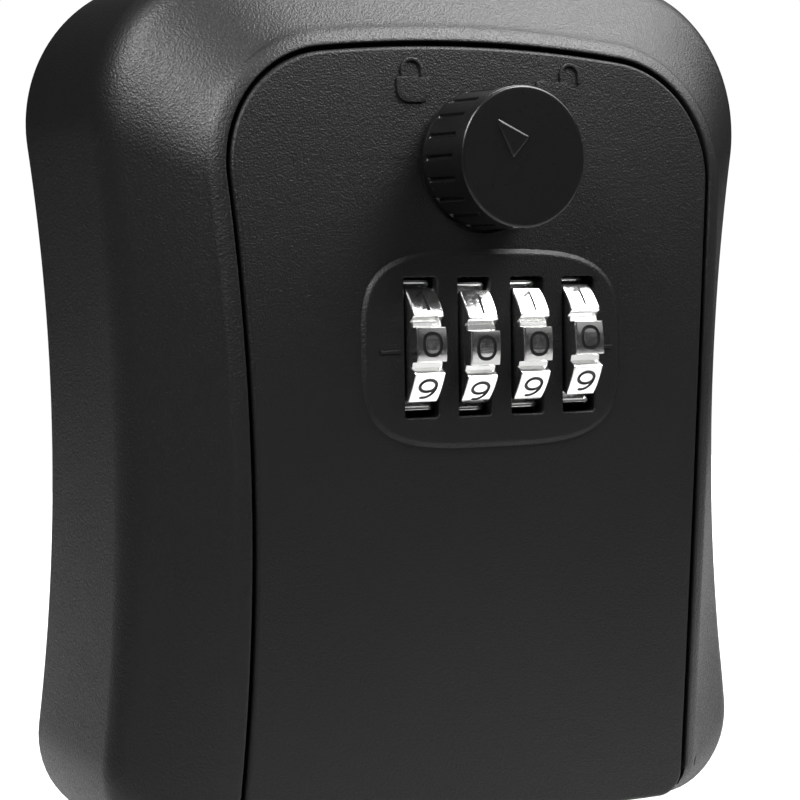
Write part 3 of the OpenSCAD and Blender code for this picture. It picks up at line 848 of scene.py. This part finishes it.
def digit_strokes():
    """Open and closed strokes of 0 to 9 in a box 2.3 wide and 3.1 high, middle at the origin."""
    W, H = 1.27, 1.42
    d = {}
    oval = []
    for i in range(40):
        a = 2 * math.pi * i / 40
        c, s = math.cos(a), math.sin(a)
        oval.append((W * math.copysign(abs(c) ** 0.82, c), H * math.copysign(abs(s) ** 0.82, s)))
    d["0"] = [(oval, True)]
    d["1"] = [([(-0.78, 0.78), (-0.35, 1.04), (0.12, H), (0.12, 0.6), (0.12, -0.3), (0.12, -H)], False)]
    d["2"] = [(arc_pts(0, 0.62, 0.92, 0.83, 165, -25, 14) + [(0.45, -0.25), (-0.3, -0.85), (-0.95, -1.4), (0.0, -1.4), (1.0, -1.4)], False)]
    d["3"] = [(arc_pts(-0.02, 0.73, 0.86, 0.72, 150, -80, 14)[:-1] + [(-0.05, 0.02)] + arc_pts(-0.02, -0.7, 0.95, 0.75, 75, -155, 16), False)]
    d["4"] = [([(0.45, -1.45), (0.45, 0.0), (0.45, 1.45), (-0.3, 0.4), (-1.0, -0.62), (0.0, -0.62), (1.05, -0.62)], False)]
    d["5"] = [([(0.85, 1.4), (0.0, 1.4), (-0.72, 1.4), (-0.8, 0.8), (-0.86, 0.15)] + arc_pts(-0.05, -0.52, 0.98, 0.9, 130, -150, 18), False)]
    d["6"] = [(arc_pts(0, -0.5, 1.2, 0.9, 0, 345, 30), True), (arc_pts(0.35, -0.35, 1.55, 1.75, 180, 82, 14), False)]
    d["7"] = [([(-0.95, 1.4), (0.0, 1.4), (0.95, 1.4), (0.45, 0.4), (0.0, -0.6), (-0.25, -1.45)], False)]
    d["8"] = [(arc_pts(0, 0.76, 0.78, 0.68, 0, 348, 28), True), (arc_pts(0, -0.68, 0.95, 0.78, 0, 348, 30), True)]
    d["9"] = [([(-x, -y) for x, y in d["6"][0][0]], True), ([(-x, -y) for x, y in d["6"][1][0]], False)]
    return d


def digit_loops(strokes, w, step=0.055):
    """Outline loops of a digit: the line at half a stroke width from its strokes."""
    segs = []
    for p, closed in strokes:
        q = list(p) + ([p[0]] if closed else [])
        segs += [(q[i], q[i + 1]) for i in range(len(q) - 1)]
    a = np.array([x[0] for x in segs], float)
    d = np.array([x[1] for x in segs], float) - a
    xs = np.arange(-1.6, 1.6 + step, step) + 0.0007
    zs = np.arange(-2.1, 2.1 + step, step) + 0.0003
    gx, gz = np.meshgrid(xs, zs, indexing="ij")
    pts = np.stack([gx, gz], -1)[:, :, None, :]
    t = np.clip(((pts - a) * d).sum(-1) / (d * d).sum(-1), 0, 1)
    f = np.linalg.norm(pts - (a + t[..., None] * d), axis=-1).min(-1) - w / 2

    def cross(p, q):  # where the line crosses the grid edge p to q
        p, q = min(p, q), max(p, q)
        u = f[p] / (f[p] - f[q])
        u = min(max(u, 0.06), 0.94)
        return (p, q), (gx[p] + u * (gx[q] - gx[p]), gz[p] + u * (gz[q] - gz[p]))

    nxt, pos = {}, {}
    for i in range(len(xs) - 1):
        for j in range(len(zs) - 1):
            c = [(i, j), (i + 1, j), (i + 1, j + 1), (i, j + 1)]
            ins = [f[k] < 0 for k in c]
            if all(ins) or not any(ins):
                continue
            outs, starts = [], []
            for k in range(4):
                u, v = c[k], c[(k + 1) % 4]
                if ins[k] != ins[(k + 1) % 4]:
                    key, xy = cross(u, v)
                    pos[key] = xy
                    (outs if ins[k] else starts).append(key)
            for s0, s1 in zip(outs, starts if len(outs) == 1 else starts[::-1]):
                nxt[s0] = s1
    loops = []
    while nxt:
        k = next(iter(nxt))
        loop = []
        while k in nxt:
            loop.append(pos[k])
            k = nxt.pop(k)
        if len(loop) > 7:
            loops.append(loop)
    return loops


def digit_cutter(strokes, w, r0, r1):
    """Closed block in the shape of a digit, standing radially on the dial."""
    bm = bmesh.new()
    edges = []
    for loop in digit_loops(strokes, w):
        vs = [bm.verts.new((x * MM, -r0 * MM, z * MM)) for x, z in loop]
        edges += [bm.edges.new((vs[i], vs[(i + 1) % len(vs)])) for i in range(len(vs))]
    bmesh.ops.triangle_fill(bm, use_beauty=True, use_dissolve=False, edges=edges)
    got = bmesh.ops.extrude_face_region(bm, geom=bm.faces[:])
    up = [g for g in got["geom"] if isinstance(g, bmesh.types.BMVert)]
    bmesh.ops.translate(bm, verts=up, vec=(0, -(r1 - r0) * MM, 0))
    bmesh.ops.recalc_face_normals(bm, faces=bm.faces)
    me = bpy.data.meshes.new("digit")
    bm.to_mesh(me)
    bm.free()
    me.materials.append(MAT["ink"])
    o = bpy.data.objects.new("digit", me)
    bpy.context.scene.collection.objects.link(o)
    return o


def rot_x(o, deg):
    o.data.transform(Matrix.Rotation(rad(deg), 4, "X"))
    return o


def dial_master():
    """A dial about the X axis, digit 0 facing -Y, digit 1 at 36 degrees up."""
    prof = []
    for i in range(10):
        base = i * 36
        # crowned plate, rounded shoulders, valley
        for a, r in ((-16.4, 8.62), (-15.7, 8.7), (-14.9, 9.0), (-14.3, 9.45), (-13.75, 9.72), (-13.0, 9.86), (-12.0, 9.88),
                     (-8, 9.84), (-4, 9.82), (0, 9.81), (4, 9.82), (8, 9.84), (12.0, 9.88), (13.0, 9.86), (13.75, 9.72),
                     (14.3, 9.45), (14.9, 9.0), (15.7, 8.7), (16.4, 8.62)):
            prof.append((base + a, r))
    prof = np.array(prof)
    n = len(prof)
    ang = np.radians(prof[:, 0])

    def ring(x, cut, floor=8.55):
        r = np.minimum(prof[:, 1], prof[:, 1] - cut)
        r = np.where(prof[:, 1] < 8.8, np.minimum(prof[:, 1], 8.62 - max(cut - 0.1, 0)), r)
        return np.c_[np.full(n, x), -r * np.cos(ang), r * np.sin(ang)]

    def hole(x, r):
        return np.c_[np.full(n, x), -r * np.cos(ang), r * np.sin(ang)]

    w = 2.25
    rings = [hole(-w, 2.2), ring(-w, 0.3), ring(-w + 0.06, 0.14), ring(-w + 0.16, 0.04), ring(-w + 0.32, 0.0),
             ring(w - 0.32, 0.0), ring(w - 0.16, 0.04), ring(w - 0.06, 0.14), ring(w, 0.3),
             hole(w, 4.3), hole(0.5, 4.3), hole(0.5, 2.2)]
    o = loft("dial_master", rings, wrap=True, mats=[MAT["dial"], MAT["ink"]])
    strokes = digit_strokes()
    for k in range(10):
        cut = digit_cutter(strokes[str(k)], 0.46, 9.62, 10.6)
        rot_x(cut, -36 * k)  # digit k sits 36k degrees up from the front
        boolean(o, cut, "DIFFERENCE", transfer=True)
    tidy(o, 1e-6)
    return o


DIAL_PLAY = [3.2, -0.6, 1.7, 5.8]


def make_dials():
    master = dial_master()
    for i in range(4):
        me = master.data.copy()
        o = bpy.data.objects.new(f"number_dial_{i + 1}", me)
        bpy.context.scene.collection.objects.link(o)
        me.transform(Matrix.Rotation(rad(-DIAL_PLAY[i]), 4, "X"))
        me.transform(Matrix.Translation(Vector((DIAL_X[i], DIAL_Y, DIAL_Z)) * MM))
        smooth(o, 28)
        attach(o, f"dial_{i + 1}")
        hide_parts(f"dial_wheel_{i + 1}")
    bpy.data.objects.remove(master)


# --------------------------------------------------------------------------
# springs
# --------------------------------------------------------------------------
def coil(name, r, wire, h, turns, place, per=28, sides=12):
    w = wire / 2
    n = int(turns * per)
    rings = []
    for k in range(n + 1):
        a = 2 * math.pi * k / per
        # closed end turns, open turns between
        t = k / n
        e = 0.75 / turns
        if t < e:
            f = 0.06 * (t / e) ** 2
        elif t > 1 - e:
            f = 1 - 0.06 * ((1 - t) / e) ** 2
        else:
            f = 0.06 + 0.88 * (t - e) / (1 - 2 * e)
        z = w + (h - 2 * w) * f
        ring = []
        for j in range(sides):
            q = 2 * math.pi * j / sides
            ring.append(((r + w * math.cos(q)) * math.cos(a), (r + w * math.cos(q)) * math.sin(a), z + w * math.sin(q)))
        rings.append(np.array([place(*p) for p in ring]))
    o = loft(name, rings, "ngon", "ngon", [MAT["spring"]])
    smooth(o, 50, False)
    return o


def make_springs():
    o = coil("latch_return_spring", 2.0, 0.6, 15, 6.5, lambda x, y, z: (11.2 + x, -35.3 + y, 21.4 + z))
    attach(o, "door")
    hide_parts("latch_spring")
    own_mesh(o)
    o = coil("code_change_spring", 2.75, 0.6, 4.9, 4, lambda x, y, z: (-20.5 + z, DIAL_Y + y, DIAL_Z - x))
    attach(o, "door")
    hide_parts("reset_spring")
    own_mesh(o)


make_camera()
make_stage()
make_materials()
dress_cad()
make_housing()
make_door()
make_knob()
make_dials()
make_springs()
